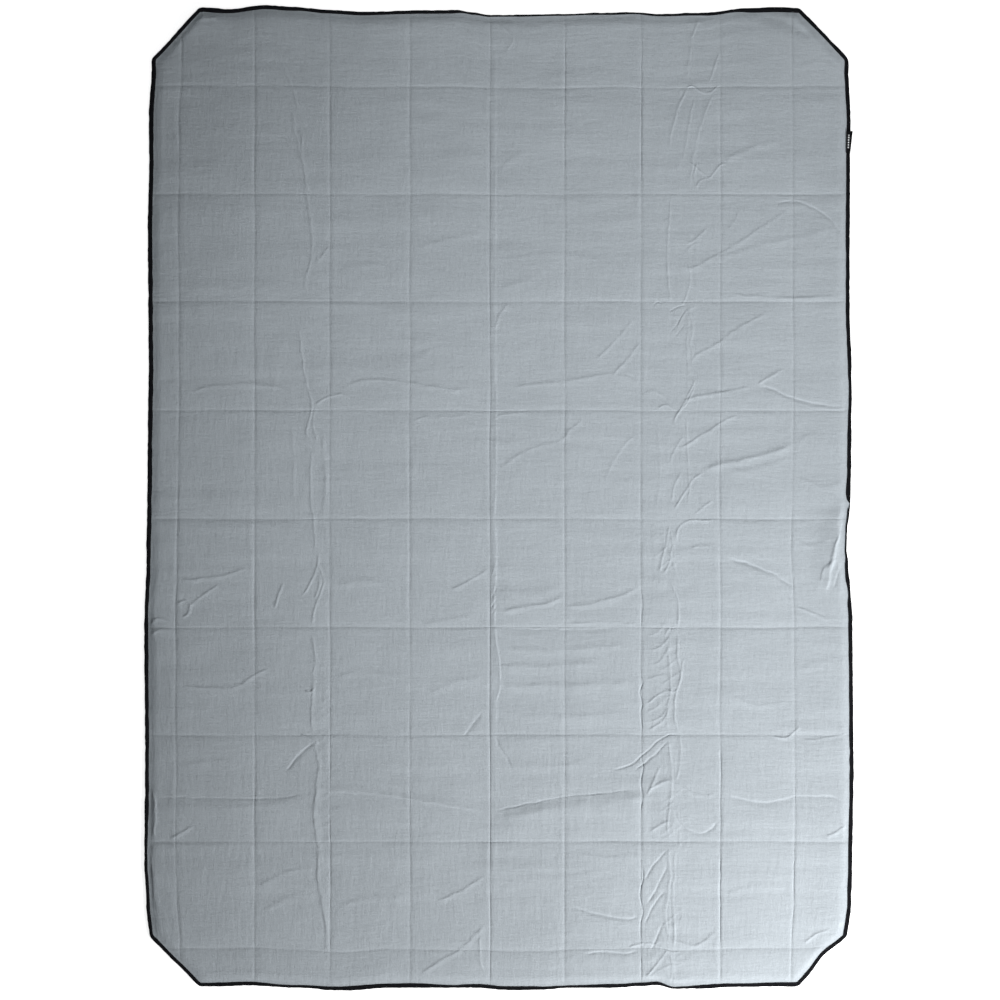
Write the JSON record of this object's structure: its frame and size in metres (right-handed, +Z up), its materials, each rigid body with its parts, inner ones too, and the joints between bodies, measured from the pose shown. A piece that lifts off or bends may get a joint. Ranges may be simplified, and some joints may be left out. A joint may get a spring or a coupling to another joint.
{
  "type": "infrared sauna blanket",
  "caption": "Thin layered woven wrap blanket with cut corners, dark bound edge and a loop label, laid open flat; its two sides fold over the middle.",
  "frame": {"origin": "on the floor under the middle of the open blanket", "axes": "+X towards the right edge, which carries the label; +Y towards the head end; +Z up from the floor"},
  "size_m": [1.3055, 1.8, 0.004],
  "materials": {
    "face_cloth": "matt plain weave, grey-blue",
    "backing_cloth": "matt plain weave, slate",
    "interlining": "thin needled felt, off-white",
    "binding_tape": "folded twill tape, near black",
    "sewing_thread": "spun thread, near black",
    "label_ribbon": "woven ribbon, black with pale yarn marks"
  },
  "bodies": {
    "centre_panel": {"backing_cloth_centre": "backing_cloth", "interlining_centre": "interlining", "face_cloth_centre": "face_cloth", "edge_binding_head": "binding_tape", "edge_binding_foot": "binding_tape", "binding_stitch_head": "sewing_thread", "binding_stitch_foot": "sewing_thread"},
    "left_flap": {"backing_cloth_left": "backing_cloth", "interlining_left": "interlining", "face_cloth_left": "face_cloth", "edge_binding_left": "binding_tape", "binding_stitch_left": "sewing_thread"},
    "right_flap": {"backing_cloth_right": "backing_cloth", "interlining_right": "interlining", "face_cloth_right": "face_cloth", "edge_binding_right": "binding_tape", "binding_stitch_right": "sewing_thread", "label_stitch": "sewing_thread"},
    "label": {"loop_label": "label_ribbon"}
  },
  "joints": [
    {"name": "left_flap_fold", "type": "hinge", "parent": "centre_panel", "child": "left_flap", "pos_m": [-0.32825, 0, 0.008], "axis": [0, 1, 0], "range_deg": [0, 180]},
    {"name": "right_flap_fold", "type": "hinge", "parent": "centre_panel", "child": "right_flap", "pos_m": [0.32825, 0, 0.008], "axis": [0, -1, 0], "range_deg": [0, 180]},
    {"name": "label_flip", "type": "hinge", "parent": "right_flap", "child": "label", "pos_m": [0.64265, 0.658, 0.00365], "axis": [0, -1, 0], "range_deg": [0, 170]}
  ]
}
